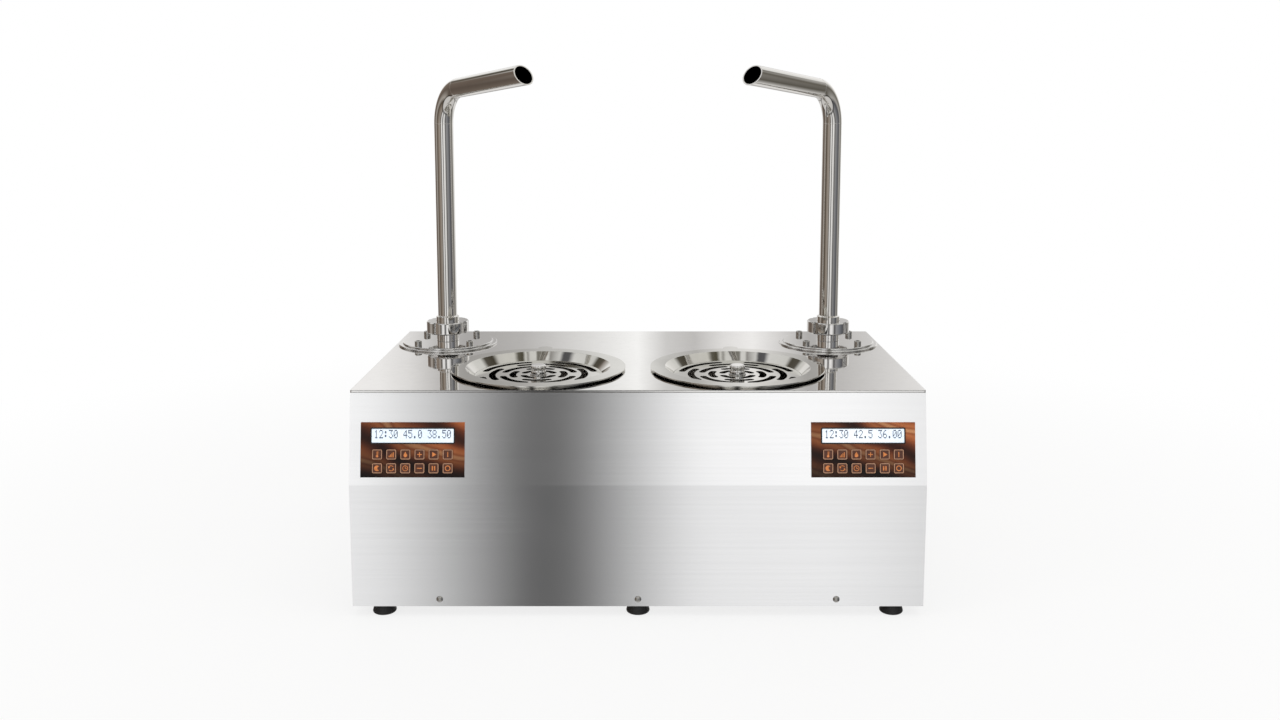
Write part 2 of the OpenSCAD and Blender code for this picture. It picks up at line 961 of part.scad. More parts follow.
module auger(side) {
    shaft_z = z_boss - socket_depth + gap;
    color("lightsteelblue")
    at_pump(side) {
        translate([0, 0, shaft_z])
            cylinder(r = shaft_r, h = z_top - shaft_z);
        translate([0, 0, z_top])
            cylinder(r1 = shaft_r, r2 = shaft_r / 3, h = shaft_tip);
        blade(shaft_r - blade_sink, blade_r, blade_z0, blade_z1 - blade_t, blade_pitch);
    }
}

module gearmotor(side) {
    z_gearbox = z_boss - gearbox_h;
    color("slategray")
    at_pump(side)
        difference() {
            union() {
                translate([0, 0, z_gearbox])
                    cylinder(d = gearbox_d, h = gearbox_h - motor_plate);
                translate([0, 0, z_boss - motor_plate])
                    cylinder(r = boss_r, h = motor_plate);
                translate([0, 0, z_gearbox - motor_h])
                    cylinder(d = motor_d, h = motor_h);
            }
            translate([0, 0, z_boss - socket_depth])
                cylinder(r = shaft_r + fit_gap, h = socket_depth + over);
        }
}

// Tanks

module at_tank(side) {
    translate([sign_of(side) * (tank_x0 + tank_x1) / 2, (tank_y0 + tank_y1) / 2, 0])
        children();
}

module tank(side) {
    w = tank_x1 - tank_x0;
    d = tank_y1 - tank_y0;
    color("lightgray")
    difference() {
        union() {
            at_tank(side) {
                translate([0, 0, z_tank])
                    rounded_block(w, d, tank_corner_r, z_plate - z_tank);
                translate([0, 0, z_plate - tank_wall])
                    rounded_block(
                        w + 2 * tank_rim_w, d + 2 * tank_rim_w, tank_corner_r + tank_rim_w, tank_wall
                    );
            }
            at_pump(side)
                translate([0, 0, z_boss])
                    cylinder(r = boss_r, h = boss_h + tank_wall);
        }
        at_tank(side)
            translate([0, 0, tank_floor_z])
                rounded_block(
                    w - 2 * tank_wall, d - 2 * tank_wall, tank_corner_r - tank_wall, z_top - tank_floor_z
                );
        at_pump(side)
            translate([0, 0, z_boss - over])
                cylinder(r = shaft_r + fit_gap, h = boss_h + tank_wall + 2 * over);
    }
}

module heater(side) {
    w = tank_x1 - tank_x0 - 2 * heater_inset;
    d = tank_y1 - tank_y0 - 2 * heater_inset;
    color("chocolate")
    difference() {
        at_tank(side)
            translate([0, 0, z_tank - heater_t])
                rounded_block(w, d, tank_corner_r, heater_t);
        at_pump(side)
            translate([0, 0, z_tank - heater_t - over])
                cylinder(r = boss_r + heater_inset / 2, h = heater_t + 2 * over);
    }
}

// Key panels

module overlay(side) {
    opening = key_w + 2 * gap;
    color("saddlebrown")
    at_overlay(side)
        difference() {
            translate([-overlay_w / 2, -overlay_h / 2, 0])
                cube([overlay_w, overlay_h, overlay_t]);
            at_lcd()
                translate([-lcd_w / 2, -lcd_h / 2, -over])
                    cube([lcd_w, lcd_h, overlay_t + 2 * over]);
            for (key = KEYS)
                at_key(key)
                    translate([0, 0, -over])
                        rounded_block(opening, opening, key_corner_r + gap, overlay_t + 2 * over);
        }
}

module display(side) {
    board_w = overlay_w + 2 * board_margin;
    board_h = overlay_h + 2 * board_margin;
    switch_top = -gap - key_flange_t - key_stem_l - key_travel - gap;
    color("seagreen")
    at_overlay(side) {
        translate([-board_w / 2, -board_h / 2, -board_depth - board_t])
            cube([board_w, board_h, board_t]);
        for (x = [-1, 1], y = [-1, 1])
            translate([x * overlay_w / 2, y * overlay_h / 2, -board_depth])
                cylinder(r = post_r, h = board_depth - sheet);
        at_lcd() {
            translate([-lcd_w / 2 - lcd_frame, -lcd_h / 2 - lcd_frame, -board_depth])
                cube([lcd_w + 2 * lcd_frame, lcd_h + 2 * lcd_frame, board_depth]);
            translate([-lcd_w / 2 + fit_gap, -lcd_h / 2 + fit_gap, 0])
                cube([lcd_w - 2 * fit_gap, lcd_h - 2 * fit_gap, overlay_t - lcd_sink]);
        }
        for (key = KEYS)
            at_key(key)
                translate([-switch_w / 2, -switch_w / 2, -board_depth])
                    cube([switch_w, switch_w, board_depth + switch_top]);
    }
}

module key_cap(side, key) {
    flange_w = key_w + 2 * key_flange;
    color("sandybrown")
    at_overlay(side)
        at_key(key) {
            translate([0, 0, -gap - key_flange_t])
                rounded_block(key_w, key_w, key_corner_r, gap + key_flange_t + overlay_t + key_proud);
            translate([0, 0, -gap - key_flange_t])
                rounded_block(flange_w, flange_w, key_corner_r, key_flange_t);
            translate([0, 0, -gap - key_flange_t - key_stem_l])
                cylinder(r = key_stem_r, h = key_stem_l + key_flange_t);
        }
}

// Power

// Outline of the inlet's cavity: a rectangle with two corners cut off
module inlet_outline(w, h, cut) {
    polygon([
        [-w / 2, -h / 2],
        [w / 2, -h / 2],
        [w / 2, h / 2 - cut],
        [w / 2 - cut, h / 2],
        [-w / 2 + cut, h / 2],
        [-w / 2, h / 2 - cut],
    ]);
}

module power_inlet() {
    depth = inlet_depth + inlet_wall;
    well_w = rocker_w + 2 * gap;
    well_h = rocker_h + 2 * gap;
    color("dimgray")
    on_back() {
        difference() {
            union() {
                rounded_block(
                    module_w + 2 * module_flange, module_h + 2 * module_flange,
                    module_flange + window_r, module_flange_t
                );
                translate([0, 0, -depth])
                    rounded_block(module_w, module_h, window_r, depth + module_flange_t / 2);
            }
            translate([0, inlet_centre_z, -inlet_depth])
                linear_extrude(inlet_depth + module_flange_t + over)
                    inlet_outline(inlet_w_in, inlet_h_in, inlet_bevel);
            translate([-well_w / 2, rocker_centre_z - well_h / 2, -inlet_depth])
                cube([well_w, well_h, inlet_depth + module_flange_t + over]);
            translate([-well_w / 2 - rocker_pin_l, rocker_centre_z, -rocker_depth])
                rotate([0, 90, 0])
                    cylinder(r = rocker_pin_r + fit_gap, h = well_w + 2 * rocker_pin_l);
        }
        for (x = [-1, 0, 1])
            translate([
                x * pin_spread - pin_w / 2,
                inlet_centre_z - pin_h / 2 + (x == 0 ? pin_offset : -pin_offset),
                -inlet_depth - inlet_wall / 2,
            ])
                cube([pin_w, pin_h, pin_l + inlet_wall / 2]);
    }
}

// The rocker lies in its tilted rest position: the lower half is pressed in
module power_switch() {
    face = rocker_depth + rocker_proud;
    color("black")
    on_back()
        translate([0, rocker_centre_z, -rocker_depth])
            rotate([rocker_tilt, 0, 0]) {
                translate([-rocker_w / 2, 0, 0])
                    rotate([90, 0, 90])
                        linear_extrude(rocker_w)
                            intersection() {
                                circle(rocker_r - gap);
                                polygon([
                                    [-rocker_h / 2 + face * sin(rocker_tilt), face],
                                    [0, face - module_flange_t],
                                    [rocker_h / 2 - face * sin(rocker_tilt), face],
                                    [rocker_h / 2 - face * sin(rocker_tilt), -rocker_pin_r],
                                    [0, -2 * rocker_pin_r],
                                    [-rocker_h / 2 + face * sin(rocker_tilt), -rocker_pin_r],
                                ]);
                            }
                translate([-rocker_w / 2 - rocker_pin_l, 0, 0])
                    rotate([0, 90, 0])
                        cylinder(r = rocker_pin_r, h = rocker_w + 2 * rocker_pin_l);
            }
}

module power_supply() {
    supply_y = back_y - supply_back - supply_d / 2;
    terminal_w = (supply_w - 2 * supply_rim) / terminal_count;
    color("lightslategray")
    translate([0, supply_y, z_pan]) {
        difference() {
            translate([-supply_w / 2, -supply_d / 2, 0])
                cube([supply_w, supply_d, supply_h]);
            translate([-supply_w / 2 + sheet, -supply_d / 2 - over, terminal_h + sheet])
                cube([supply_w - 2 * sheet, terminal_d + over, supply_h]);
            for (column = [-4 : 4])
                translate([column * vent_pitch, terminal_d / 2, supply_h - sheet])
                    linear_extrude(sheet + over)
                        rotate([0, 0, 90])
                            slot_shape(supply_d / 2, vent_h);
        }
        for (column = [0 : terminal_count])
            translate([
                -supply_w / 2 + supply_rim + column * terminal_w - terminal_wall / 2,
                -supply_d / 2 + terminal_wall,
                terminal_h,
            ])
                cube([terminal_wall, terminal_d - terminal_wall, supply_h / 3]);
    }
}

top_plate();
front_panel();
rear_casing();
base_pan();
feet();
casing_screws();
pump_screws();
power_inlet();
power_switch();
power_supply();
for (side = SIDES) {
    tank(side);
    heater(side);
    tray(side);
    grille(side);
    knob(side);
    pump_flange(side);
    union_nut(side);
    spout(side);
    gasket(side);
    auger(side);
    gearmotor(side);
    overlay(side);
    display(side);
    for (key = KEYS)
        key_cap(side, key);
}
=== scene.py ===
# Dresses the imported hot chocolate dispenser: steels, rubbers, key panels, displays, light and camera
import json
import math

import bmesh
import bpy
from mathutils import Matrix, Vector
from mathutils.bvhtree import BVHTree


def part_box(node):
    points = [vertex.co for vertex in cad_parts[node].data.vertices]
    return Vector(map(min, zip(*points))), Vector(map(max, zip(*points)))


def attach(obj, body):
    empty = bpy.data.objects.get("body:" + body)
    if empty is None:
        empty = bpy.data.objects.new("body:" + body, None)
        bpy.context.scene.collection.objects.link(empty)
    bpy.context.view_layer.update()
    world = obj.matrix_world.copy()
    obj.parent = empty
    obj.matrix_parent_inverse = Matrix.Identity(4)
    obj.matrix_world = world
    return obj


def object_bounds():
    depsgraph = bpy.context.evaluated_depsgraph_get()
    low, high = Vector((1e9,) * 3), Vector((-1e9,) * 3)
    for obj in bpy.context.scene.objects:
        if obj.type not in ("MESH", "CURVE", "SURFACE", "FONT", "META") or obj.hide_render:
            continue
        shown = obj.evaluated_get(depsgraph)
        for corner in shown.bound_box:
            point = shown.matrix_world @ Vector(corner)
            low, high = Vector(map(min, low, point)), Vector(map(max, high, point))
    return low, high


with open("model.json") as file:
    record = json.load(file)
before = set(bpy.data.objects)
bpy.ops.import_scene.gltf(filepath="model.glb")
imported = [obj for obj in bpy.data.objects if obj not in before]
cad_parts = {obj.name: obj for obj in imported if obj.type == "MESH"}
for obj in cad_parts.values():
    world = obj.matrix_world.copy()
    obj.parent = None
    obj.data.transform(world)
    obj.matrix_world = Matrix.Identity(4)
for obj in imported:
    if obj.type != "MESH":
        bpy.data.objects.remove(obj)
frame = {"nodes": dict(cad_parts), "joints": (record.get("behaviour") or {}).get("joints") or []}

NODES = frame["nodes"]
SIDES = ("left", "right")
cad_low, cad_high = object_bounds()
cad_low, cad_high = cad_low.copy(), cad_high.copy()
MM = 0.001
WHITE = (1.0, 1.0, 1.0)


def add_to_scene(name, data):
    """A new object that holds this data, in the scene."""
    made = bpy.data.objects.new(name, data)
    bpy.context.scene.collection.objects.link(made)
    return made


# Camera, at the photograph's viewing angle; its shifts are shares of the picture's width

CAMERA_PLACE = Vector((0.0, -1.579, 0.6195))
CAMERA_PITCH = 7.25
CAMERA_LENS = 33.12
CAMERA_SENSOR = 36.0
CAMERA_SHIFT_X = 0.0016
CAMERA_SHIFT_Y = -0.08


def add_camera():
    data = bpy.data.cameras.new("camera")
    data.sensor_width = CAMERA_SENSOR
    data.lens = CAMERA_LENS
    data.shift_x = CAMERA_SHIFT_X
    data.shift_y = CAMERA_SHIFT_Y
    camera = add_to_scene("camera", data)
    camera.location = CAMERA_PLACE
    camera.rotation_euler = (math.radians(90.0 - CAMERA_PITCH), 0.0, 0.0)
    bpy.context.scene.camera = camera


# Node building

# A mix node's colour sockets, by number because other sockets of it have the same names
MIX_FIRST = 6
MIX_SECOND = 7
MIX_RESULT = 2

EVEN = (1.0, 1.0, 1.0)
NO_TURN = (0.0, 0.0, 0.0)
# Detail of a noise that changes only in broad patches
BROAD = 1.0
EDGE_SAMPLES = 6
# Likeness of the softened normal to the face's own, from a full edge to a flat face
EDGE_LIKENESS = (0.85, 1.0)


class Graph:
    """A node tree whose nodes are added one call at a time."""

    def __init__(self, tree):
        self.tree = tree

    def node(self, kind, **settings):
        made = self.tree.nodes.new(kind)
        for name, value in settings.items():
            setattr(made, name, value)
        return made

    def link(self, source, target):
        self.tree.links.new(source, target)

    def feed(self, socket, value):
        """Gives a socket a colour, a number or what another socket puts out."""
        if isinstance(value, tuple):
            socket.default_value = (*value, 1.0)
        elif isinstance(value, float):
            socket.default_value = value
        else:
            self.link(value, socket)

    def combine(self, operation, first, second):
        made = self.node("ShaderNodeMath", operation=operation)
        self.feed(made.inputs[0], first)
        self.feed(made.inputs[1], second)
        return made.outputs["Value"]

    def split(self, vector):
        made = self.node("ShaderNodeSeparateXYZ")
        self.link(vector, made.inputs["Vector"])
        return made.outputs

    def spread(self, value, low, high, start=0.3, stop=0.7, easing="SMOOTHSTEP"):
        """Takes the values between start and stop to those between low and high.

        Unless they are given, start and stop are those that hold most of a noise's values.
        """
        made = self.node("ShaderNodeMapRange", interpolation_type=easing)
        made.inputs["From Min"].default_value = start
        made.inputs["From Max"].default_value = stop
        made.inputs["To Min"].default_value = low
        made.inputs["To Max"].default_value = high
        self.link(value, made.inputs["Value"])
        return made.outputs["Result"]

    def blend(self, factor, first, second, kind="MIX"):
        made = self.node("ShaderNodeMix", data_type="RGBA", blend_type=kind)
        self.feed(made.inputs["Factor"], factor)
        self.feed(made.inputs[MIX_FIRST], first)
        self.feed(made.inputs[MIX_SECOND], second)
        return made.outputs[MIX_RESULT]

    def ramp(self, factor, stops):
        made = self.node("ShaderNodeValToRGB")
        elements = made.color_ramp.elements
        while len(elements) < len(stops):
            elements.new(0.5)
        for element, (position, colour) in zip(elements, stops):
            element.position = position
            element.color = (*colour, 1.0)
        self.link(factor, made.inputs["Fac"])
        return made.outputs["Color"]

    def mix_shaders(self, factor, first, second):
        made = self.node("ShaderNodeMixShader")
        for socket, source in zip(made.inputs, (factor, first, second)):
            self.link(source, socket)
        return made.outputs["Shader"]


class Shader(Graph):
    """The node tree of a new material with a plain surface."""

    def __init__(self, name):
        self.material = bpy.data.materials.new(name)
        self.material.use_nodes = True
        super().__init__(self.material.node_tree)
        self.surface = self.tree.nodes["Principled BSDF"]
        self.places = self.node("ShaderNodeTexCoord").outputs

    def set(self, **values):
        """Feeds the surface's sockets, whose names have spaces where these have underscores."""
        for name, value in values.items():
            self.feed(self.surface.inputs[name.replace("_", " ")], value)

    def mapped(self, scale, turn=NO_TURN):
        made = self.node("ShaderNodeMapping")
        made.inputs["Scale"].default_value = scale
        made.inputs["Rotation"].default_value = [math.radians(angle) for angle in turn]
        self.link(self.places["Object"], made.inputs["Vector"])
        return made.outputs["Vector"]

    def noise(self, scale, detail=2.0, stretch=EVEN):
        made = self.node("ShaderNodeTexNoise")
        made.inputs["Scale"].default_value = scale
        made.inputs["Detail"].default_value = detail
        self.link(self.mapped(stretch), made.inputs["Vector"])
        return made.outputs["Fac"]

    def soft_edge(self, radius):
        made = self.node("ShaderNodeBevel", samples=EDGE_SAMPLES)
        made.inputs["Radius"].default_value = radius
        return made.outputs["Normal"]

    def edge_mask(self, soft_normal):
        """One along an edge, zero on a flat face."""
        likeness = self.node("ShaderNodeVectorMath", operation="DOT_PRODUCT")
        self.link(soft_normal, likeness.inputs[0])
        self.link(self.node("ShaderNodeNewGeometry").outputs["Normal"], likeness.inputs[1])
        return self.spread(likeness.outputs["Value"], 1.0, 0.0, *EDGE_LIKENESS)

    def bump(self, height, strength, distance, normal=None):
        made = self.node("ShaderNodeBump")
        made.inputs["Strength"].default_value = strength
        made.inputs["Distance"].default_value = distance
        self.link(height, made.inputs["Height"])
        if normal is not None:
            self.link(normal, made.inputs["Normal"])
        return made.outputs["Normal"]

    def tangent(self, direction):
        made = self.node("ShaderNodeCombineXYZ")
        for socket, part in zip(made.inputs, direction):
            socket.default_value = part
        self.link(made.outputs["Vector"], self.surface.inputs["Tangent"])


def toned(colour, scale, lift=0.0):
    """The colour made lighter or darker, and never past white."""
    return tuple(min(1.0, channel * scale + lift) for channel in colour)


# Steel: noise scales are per metre

STAIN_SCALE = 7.0
STAIN_SPREAD = (0.2, 0.8)
GRAIN_SCALE = 90.0
GRAIN_DETAIL = 3.0
GRAIN_TONE = 1.06
GRAIN_BUMP = 0.02
GRAIN_HEIGHT = 0.05 * MM
SMEAR_SCALE = 11.0
SMEAR_SPREAD = (0.1, 0.9)
WAVE_SCALE = 9.0
WAVE_BUMP = 1.0
BRUSHED_GRAIN = (0.02, 3.0, 3.0)
BRUSHED_SHEEN = 0.9
BRUSHED_TANGENT = (0.0, 0.05, 1.0)


def steel(name, colour, stain, rough, edge=0.5 * MM, edge_wear_and_painted_light_tone=1.18, wave=0.0, brushed=False):
    """Stainless steel with a grain, faint stains, slightly wavy faces, and edges of their own tone: a
    lighter tone gives edge wear with a painted highlight, a darker one painted shade.

    Brushed steel has a sheen across its grain and keeps each face's own normal up to its edge.
    """
    made = Shader(name)
    soft = made.soft_edge(edge)
    stains = made.spread(made.noise(STAIN_SCALE), 0.0, 1.0, *STAIN_SPREAD)
    grain = made.noise(GRAIN_SCALE, GRAIN_DETAIL, BRUSHED_GRAIN if brushed else EVEN)
    streaked = made.blend(grain, made.blend(stains, colour, stain), toned(colour, GRAIN_TONE))
    face = soft
    if brushed:
        face = made.node("ShaderNodeNewGeometry").outputs["True Normal"]
        made.tangent(BRUSHED_TANGENT)
    normal = made.bump(grain, GRAIN_BUMP, GRAIN_HEIGHT, face)
    if wave > 0.0:
        normal = made.bump(made.noise(WAVE_SCALE, BROAD), WAVE_BUMP, wave, normal)
    # The edge tone in the base colour is painted light: lighter edges are wear together with a painted
    # highlight, dark edges are painted shade
    made.set(
        Base_Color=made.blend(made.edge_mask(soft), streaked, toned(colour, edge_wear_and_painted_light_tone)),
        Metallic=1.0,
        Roughness=made.spread(made.noise(SMEAR_SCALE, BROAD), *rough, *SMEAR_SPREAD),
        Anisotropic=BRUSHED_SHEEN if brushed else 0.0,
        Normal=normal,
    )
    return made.material


# Rubber and plastic

SPECK_SCALE = 900.0
SPECK_BUMP = 0.25
SPECK_HEIGHT = 0.1 * MM
DUST_SCALE = 60.0
DUST_DETAIL = 5.0
DUST_SHARE = 0.15
DUST_SPREAD = (0.45, 0.75)
DUST_TONE = 1.7
DUST_LIFT = 0.02
MOULDED_EDGE = 0.4 * MM
MOULDED_COAT_ROUGHNESS = 0.2
# How far a moulding's roughness goes below and above its own value
MOULDED_SMOOTHER = 0.05
MOULDED_ROUGHER = 0.08


def moulded(name, colour, rough, coat=0.0):
    """Moulded rubber or plastic with a fine grain, faint dust and softened edges."""
    made = Shader(name)
    grain = made.noise(SPECK_SCALE)
    dust = made.spread(made.noise(DUST_SCALE, DUST_DETAIL), 0.0, DUST_SHARE, *DUST_SPREAD)
    pale = toned(colour, DUST_TONE, DUST_LIFT)
    soft = made.soft_edge(MOULDED_EDGE)
    made.set(
        Base_Color=made.blend(made.edge_mask(soft), made.blend(dust, colour, pale), pale),
        Roughness=made.spread(grain, rough - MOULDED_SMOOTHER, rough + MOULDED_ROUGHER),
        Coat_Weight=coat,
        Coat_Roughness=MOULDED_COAT_ROUGHNESS,
        Normal=made.bump(grain, SPECK_BUMP, SPECK_HEIGHT, soft),
    )
    return made.material


# The key panels' print

RIBBON_SCALE = 6.5
RIBBON_DISTORTION = 4.0
RIBBON_DETAIL = 1.5
RIBBON_DETAIL_SCALE = 1.4
RIBBON_STRETCH = (1.0, 1.0, 1.7)
RIBBON_TURN = (0.0, 12.0, 0.0)
RIBBON_COLOURS = (
    (0.00, (0.030, 0.007, 0.003)),
    (0.25, (0.110, 0.026, 0.009)),
    (0.55, (0.270, 0.074, 0.024)),
    (0.80, (0.360, 0.115, 0.040)),
    (0.94, (0.250, 0.070, 0.024)),
    (1.00, (0.440, 0.200, 0.090)),
)
# Tone at the film's lower edge, and the share of its height where it reaches full tone
FILM_FOOT_TONE = 0.12
FILM_FULL_HEIGHT = 0.75
# Tones at the film's left and right, and the shares of its width between which they change
FILM_SIDE_TONES = (0.75, 1.45)
FILM_SIDE_SPREAD = (0.35, 0.95)
FILM_ROUGHNESS = (0.30, 0.42)
FILM_ROUGHNESS_SCALE = 500.0
FILM_BUMP_SCALE = 1500.0
FILM_BUMP = 0.08
FILM_BUMP_HEIGHT = 0.05 * MM


def printed_film(name):
    """Soft ribbons of cocoa brown and orange, darker below, lighter on the right, with a satin coat."""
    made = Shader(name)
    wave = made.node("ShaderNodeTexWave", wave_type="BANDS", bands_direction="DIAGONAL")
    wave.inputs["Scale"].default_value = RIBBON_SCALE
    wave.inputs["Distortion"].default_value = RIBBON_DISTORTION
    wave.inputs["Detail"].default_value = RIBBON_DETAIL
    wave.inputs["Detail Scale"].default_value = RIBBON_DETAIL_SCALE
    made.link(made.mapped(RIBBON_STRETCH, RIBBON_TURN), wave.inputs["Vector"])
    ribbons = made.ramp(wave.outputs["Fac"], RIBBON_COLOURS)
    low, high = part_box("overlay_left")
    foot = low[2]
    full = foot + FILM_FULL_HEIGHT * (high[2] - foot)
    height = made.split(made.places["Object"])["Z"]
    height_tone = made.spread(height, FILM_FOOT_TONE, 1.0, foot, full)
    across = made.split(made.places["Generated"])["X"]
    side_tone = made.spread(across, *FILM_SIDE_TONES, *FILM_SIDE_SPREAD)
    tone = made.combine("MULTIPLY", height_tone, side_tone)
    made.set(
        Base_Color=made.blend(1.0, ribbons, tone, "MULTIPLY"),
        Roughness=made.spread(made.noise(FILM_ROUGHNESS_SCALE), *FILM_ROUGHNESS),
        Specular_IOR_Level=0.2,
        Coat_Weight=0.08,
        Coat_Roughness=0.25,
        Normal=made.bump(made.noise(FILM_BUMP_SCALE), FILM_BUMP, FILM_BUMP_HEIGHT),
    )
    return made.material


# The displays' cells and glass: dots in columns and rows

DOT_PITCH = 0.98 * MM
ROW_PITCH = 1.45 * MM
DOT_SIZE = 0.86 * MM
ROW_SIZE = 1.38 * MM
DOT_ROWS = 7
CELL_DOTS = 6
GLASS_COLOUR = (0.84, 0.91, 0.98)
CELL_COLOURS = ((0.70, 0.82, 0.95), (0.76, 0.87, 0.98))
CLOUD_SCALE = 14.0


def display_glass(name):
    """The lit face of a character display, with its faint rows of dots."""
    made = Shader(name)
    cells = made.node("ShaderNodeTexChecker")
    cells.inputs["Scale"].default_value = 1.0 / DOT_PITCH
    made.feed(cells.inputs["Color1"], CELL_COLOURS[0])
    made.feed(cells.inputs["Color2"], CELL_COLOURS[1])
    made.link(made.places["Object"], cells.inputs["Vector"])
    clouds = made.spread(made.noise(CLOUD_SCALE, BROAD), 0.0, 1.0)
    face = made.blend(clouds, cells.outputs["Color"], GLASS_COLOUR)
    made.set(
        Base_Color=face,
        Roughness=0.18,
        Coat_Weight=0.5,
        Coat_Roughness=0.05,
        Emission_Color=face,
        Emission_Strength=0.42,
    )
    return made.material


# Inks

INK_PATCH_SCALE = 260.0
INK_PATCH_DETAIL = 3.0
INK_PATCH_TONE = 1.25
INK_PATCH_LIFT = 0.01
INK_ROUGHNESS_SCALE = 700.0
INK_ROUGHNESS_RANGE = 0.06
INKS = {
    "display_ink": dict(colour=(0.030, 0.050, 0.115)),
    "bezel_ink": dict(colour=(0.010, 0.007, 0.006), rough=0.35),
    "key_ring_ink": dict(colour=(0.46, 0.25, 0.15), rough=0.4, glow=0.12),
    "key_symbol_ink": dict(colour=(0.62, 0.20, 0.05), rough=0.4, glow=0.1),
    "rocker_ink": dict(colour=(0.80, 0.80, 0.78)),
}


def ink(name, colour, rough=0.5, glow=0.0):
    """Printed or lit marks with a slightly uneven film."""
    made = Shader(name)
    patches = made.spread(made.noise(INK_PATCH_SCALE, INK_PATCH_DETAIL), 0.0, 1.0)
    tone = made.blend(patches, colour, toned(colour, INK_PATCH_TONE, INK_PATCH_LIFT))
    lowest, highest = rough - INK_ROUGHNESS_RANGE, rough + INK_ROUGHNESS_RANGE
    made.set(
        Base_Color=tone,
        Roughness=made.spread(made.noise(INK_ROUGHNESS_SCALE), lowest, highest),
        Emission_Color=tone,
        Emission_Strength=glow,
    )
    return made.material


# The leaning front: across is X, up follows the slope, out leaves the face

def leaning_frame():
    joint = next(j for j in frame["joints"] if j["name"] == "key_press_left_1")
    out = -Vector(joint["axis"]).normalized()
    across = Vector((1.0, 0.0, 0.0))
    return across, out.cross(across), out


ACROSS, UP, OUT = leaning_frame()
LEVEL_SLACK = 0.05 * MM


def top_face(node):
    """The outermost flat face of a node on the leaning front.

    Gives its centre and its size in (across, up), and how far out it lies.
    """
    points = [vertex.co for vertex in NODES[node].data.vertices]
    level = max(point.dot(OUT) for point in points)
    face = [(p.dot(ACROSS), p.dot(UP)) for p in points if p.dot(OUT) > level - LEVEL_SLACK]
    left, right = min(x for x, y in face), max(x for x, y in face)
    bottom, top = min(y for x, y in face), max(y for x, y in face)
    centre = Vector(((left + right) / 2, (bottom + top) / 2))
    return centre, Vector((right - left, top - bottom)), level


def on_front(centre, level):
    """Matrix that takes a flat drawing (across, up, out) to its place on the leaning front."""
    turn = Matrix((ACROSS, UP, OUT)).transposed().to_4x4()
    place = ACROSS * centre[0] + UP * centre[1] + OUT * level
    return Matrix.Translation(place) @ turn


# Flat shapes with a small thickness

MARK_T = 0.12 * MM
MARK_LIFT = 0.01 * MM
CORNER_STEPS = 6
CIRCLE_POINTS = 24


def add_prism(mesh, outline, height=MARK_T):
    base = [mesh.verts.new((x, y, 0.0)) for x, y in outline]
    top = [mesh.verts.new((x, y, height)) for x, y in outline]
    mesh.faces.new(base[::-1])
    mesh.faces.new(top)
    for i in range(len(outline)):
        j = (i + 1) % len(outline)
        mesh.faces.new((base[i], base[j], top[j], top[i]))


def add_band(mesh, outer, inner, closed=True):
    """A flat band between two outlines with as many points each."""
    outer_low, outer_high, inner_low, inner_high = [
        [mesh.verts.new((x, y, z)) for x, y in line] for line in (outer, inner) for z in (0.0, MARK_T)
    ]
    count = len(outer)
    for i in range(count if closed else count - 1):
        j = (i + 1) % count
        mesh.faces.new((outer_high[i], outer_high[j], inner_high[j], inner_high[i]))
        mesh.faces.new((outer_low[j], outer_low[i], inner_low[i], inner_low[j]))
        mesh.faces.new((outer_low[i], outer_low[j], outer_high[j], outer_high[i]))
        mesh.faces.new((inner_low[j], inner_low[i], inner_high[i], inner_high[j]))
    if not closed:
        mesh.faces.new((outer_low[0], outer_high[0], inner_high[0], inner_low[0]))
        mesh.faces.new((outer_high[-1], outer_low[-1], inner_low[-1], inner_high[-1]))


def polar(radius, degrees):
    angle = math.radians(degrees)
    return radius * math.cos(angle), radius * math.sin(angle)


def rounded_outline(width, height, radius):
    points = []
    for quarter, (sx, sy) in enumerate(((1, 1), (-1, 1), (-1, -1), (1, -1))):
        for step in range(CORNER_STEPS + 1):
            x, y = polar(radius, 90.0 * (quarter + step / CORNER_STEPS))
            points.append((sx * (width / 2 - radius) + x, sy * (height / 2 - radius) + y))
    return points


def arc(radius, start, stop, steps=20, centre=(0.0, 0.0)):
    points = []
    for step in range(steps + 1):
        x, y = polar(radius, start + (stop - start) * step / steps)
        points.append((centre[0] + x, centre[1] + y))
    return points


def circle(radius, points=CIRCLE_POINTS):
    return arc(radius, 0, 360 - 360 / points, points - 1)


def box_outline(x, y, width, height):
    return [
        (x - width / 2, y - height / 2), (x + width / 2, y - height / 2),
        (x + width / 2, y + height / 2), (x - width / 2, y + height / 2),
    ]


def finish_piece(mesh, name, material, body, matrix=None):
    """Turns a bmesh into a piece that rides on a body."""
    bmesh.ops.recalc_face_normals(mesh, faces=mesh.faces)
    data = bpy.data.meshes.new(name)
    mesh.to_mesh(data)
    mesh.free()
    if matrix is not None:
        data.transform(matrix)
    data.materials.append(material)
    piece = add_to_scene(name, data)
    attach(piece, body)


# Displays: a bezel round each window and a line of plain numbers made of dots

TEXT_RAISE = 1.9 * MM
DOT_T = MARK_T / 2
READINGS = {"left": "12:30 45.0 38.50", "right": "12:30 42.5 36.00"}
GLYPHS = {
    "0": ("01110", "10001", "10011", "10101", "11001", "10001", "01110"),
    "1": ("00100", "01100", "00100", "00100", "00100", "00100", "01110"),
    "2": ("01110", "10001", "00001", "00010", "00100", "01000", "11111"),
    "3": ("11111", "00010", "00100", "00010", "00001", "10001", "01110"),
    "4": ("00010", "00110", "01010", "10010", "11111", "00010", "00010"),
    "5": ("11111", "10000", "11110", "00001", "00001", "10001", "01110"),
    "6": ("00110", "01000", "10000", "11110", "10001", "10001", "01110"),
    "8": ("01110", "10001", "10001", "01110", "10001", "10001", "01110"),
    ".": ("00000", "00000", "00000", "00000", "00000", "01100", "01100"),
    ":": ("00000", "01100", "01100", "00000", "01100", "01100", "00000"),
    " ": ("00000",) * DOT_ROWS,
}
